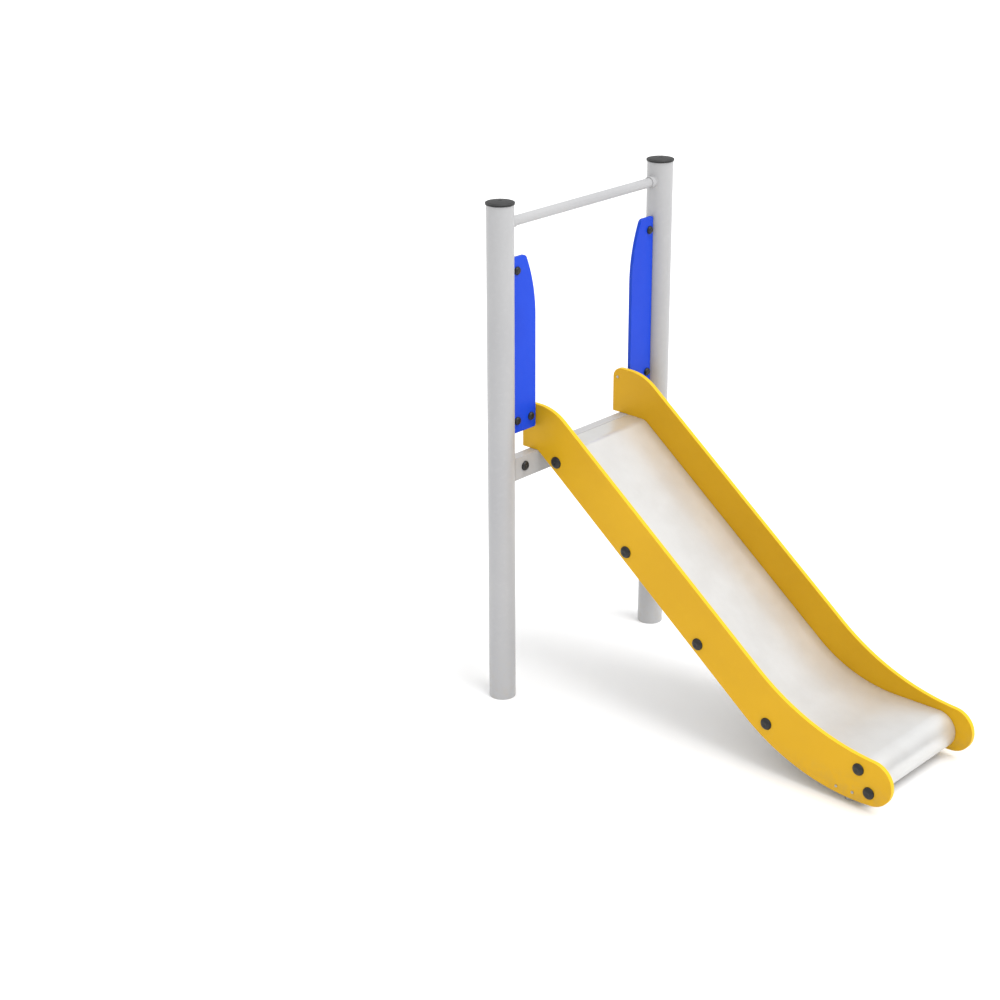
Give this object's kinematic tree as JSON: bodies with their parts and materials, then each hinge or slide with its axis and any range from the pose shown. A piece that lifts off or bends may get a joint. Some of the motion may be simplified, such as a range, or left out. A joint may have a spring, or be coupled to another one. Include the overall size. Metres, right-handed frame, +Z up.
{
  "type": "straight slide",
  "caption": "Straight playground slide: steel chute between two coloured side boards, hung from a threshold beam between two posts with a grab bar and guards.",
  "frame": {"origin": "on the ground, under the middle of the object's box", "axes": "+X down the slide towards the exit, +Y towards the slide's left side, +Z up"},
  "size_m": [1.7028, 1.0284, 1.964],
  "materials": {
    "yellow_board": "satin coloured polyethylene sheet, rounded edges",
    "blue_guard": "satin coloured polyethylene sheet",
    "stainless_chute": "fine satin stainless sheet",
    "grey_paint": "light grey powder coat",
    "galvanised_steel": "hot-dip galvanised",
    "plated_fasteners": "stainless fasteners",
    "black_plastic": "black nylon"
  },
  "bodies": {
    "root": {"bar_grub_screws": "plated_fasteners", "beam_bolt_caps": "black_plastic", "beam_bolt_seats": "black_plastic", "beam_bolts": "plated_fasteners", "beam_nuts": "plated_fasteners", "chute": "stainless_chute", "cross_tube_1": "galvanised_steel", "cross_tube_2": "galvanised_steel", "cross_tube_3": "galvanised_steel", "cross_tube_4": "galvanised_steel", "cross_tube_5": "galvanised_steel", "cross_tube_6": "galvanised_steel", "cross_tube_inserts": "galvanised_steel", "grab_bar": "grey_paint", "guard_bolt_caps": "black_plastic", "guard_bolt_seats": "black_plastic", "guard_bolts": "plated_fasteners", "guard_nuts": "plated_fasteners", "left_anchor_bracket": "galvanised_steel", "left_anchor_leg": "galvanised_steel", "left_bar_socket": "grey_paint", "left_beam_bracket": "grey_paint", "left_corner_bracket": "galvanised_steel", "left_guard": "blue_guard", "left_guard_lugs": "grey_paint", "left_post": "grey_paint", "left_post_cap": "black_plastic", "left_side_board": "yellow_board", "lip_bolts": "plated_fasteners", "lip_nuts": "plated_fasteners", "right_anchor_bracket": "galvanised_steel", "right_anchor_leg": "galvanised_steel", "right_bar_socket": "grey_paint", "right_beam_bracket": "grey_paint", "right_corner_bracket": "galvanised_steel", "right_guard": "blue_guard", "right_guard_lugs": "grey_paint", "right_post": "grey_paint", "right_post_cap": "black_plastic", "right_side_board": "yellow_board", "side_bolt_caps": "black_plastic", "side_bolt_seats": "black_plastic", "side_bolts": "plated_fasteners", "small_nuts": "plated_fasteners", "small_screws": "plated_fasteners", "threshold_beam": "grey_paint"}
  },
  "joints": []
}
